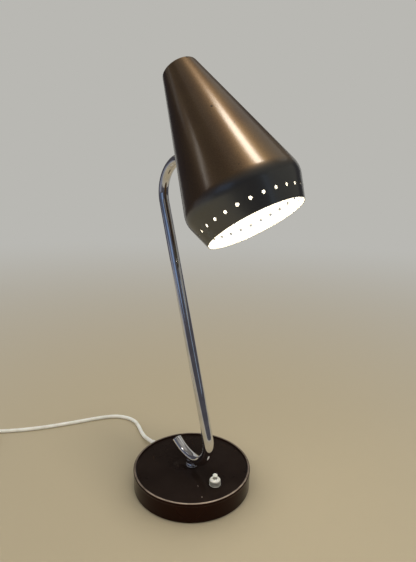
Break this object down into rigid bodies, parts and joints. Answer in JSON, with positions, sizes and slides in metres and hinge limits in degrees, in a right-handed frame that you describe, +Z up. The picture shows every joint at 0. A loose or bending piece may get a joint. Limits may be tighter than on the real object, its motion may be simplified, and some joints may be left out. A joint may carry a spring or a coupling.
{
  "type": "desk lamp",
  "caption": "Desk lamp with a weighted round base, a swivelling bent chrome tube stem and a two-axis knuckle that carries a spun cone shade with a ring of vent holes.",
  "frame": {"origin": "middle of the base's underside, where the lamp stands on the table", "axes": "+X the way the lamp faces, +Z up"},
  "size_m": [0.4357, 0.3704, 0.5093],
  "materials": {
    "black_enamel": "semi-gloss baked enamel, near-black brown",
    "cast_iron": "as cast",
    "felt": "pressed wool felt",
    "chrome": "polished plating",
    "zinc_steel": "zinc plated",
    "spring_steel": "plain",
    "brass": "turned",
    "ivory_plastic": "gloss, off-white",
    "white_pvc": "satin flexible vinyl",
    "block_plastic": "matte",
    "copper_lacquer": "metallic copper-brown lacquer",
    "black_bakelite": "moulded phenolic",
    "ceramic": "glazed steatite",
    "frosted_glass": "frosted, lit",
    "tin_cap": "bright"
  },
  "bodies": {
    "base": {"base_shell": "black_enamel", "base_weight": "cast_iron", "base_felt": "felt", "collar_ring": "chrome", "cord_relief": "white_pvc", "inner_cord": "white_pvc", "cord_clamp": "zinc_steel", "clamp_screws": "zinc_steel", "connector_block": "block_plastic", "switch_housing": "ivory_plastic", "switch_collar": "ivory_plastic", "switch_spring": "spring_steel", "cord": "white_pvc", "cord_coil": "white_pvc", "cord_end": "white_pvc", "plug_body": "white_pvc", "plug_pins": "chrome"},
    "push_button": {"push_button": "ivory_plastic"},
    "arm": {"arm_saddle": "chrome", "spring_washer": "spring_steel", "stem_nut": "brass", "arm_tube": "chrome", "tail_plug": "chrome", "stem_flex": "white_pvc", "knuckle_fork": "chrome", "pivot_screw": "chrome", "pivot_nut": "chrome"},
    "knuckle": {"knuckle_tongue": "chrome", "stud_washer": "spring_steel", "stud_nut": "zinc_steel"},
    "shade": {"saddle_washer": "chrome", "inner_saddle": "zinc_steel", "shade": "copper_lacquer", "holder_bracket": "zinc_steel", "holder_nipple": "brass", "holder_nut": "brass", "holder_cap": "black_bakelite", "holder_body": "black_bakelite", "holder_insert": "ceramic", "holder_contact": "brass", "holder_thread": "brass", "bulb_cap": "tin_cap", "bulb_glass": "frosted_glass"}
  },
  "joints": [
    {"name": "arm_swivel", "type": "hinge", "parent": "base", "child": "arm", "pos_m": [0, 0, 0.0255], "axis": [0, 0, 1], "range_deg": [-160, 160]},
    {"name": "shade_tilt", "type": "hinge", "parent": "arm", "child": "knuckle", "pos_m": [-0.0178, 0, 0.40905], "axis": [0, -1, 0], "range_deg": [-30, 60]},
    {"name": "shade_swivel", "type": "hinge", "parent": "knuckle", "child": "shade", "pos_m": [-0.0178, 0, 0.40905], "axis": [0.9699, 0, 0.2436], "range_deg": [-60, 60]},
    {"name": "button_press", "type": "slide", "parent": "base", "child": "push_button", "axis": [0, 0, -1], "range_m": [0, 0.0022], "stiffness_N_per_m": 900, "springref_m": -0.002, "deforming": ["switch_spring"]}
  ]
}
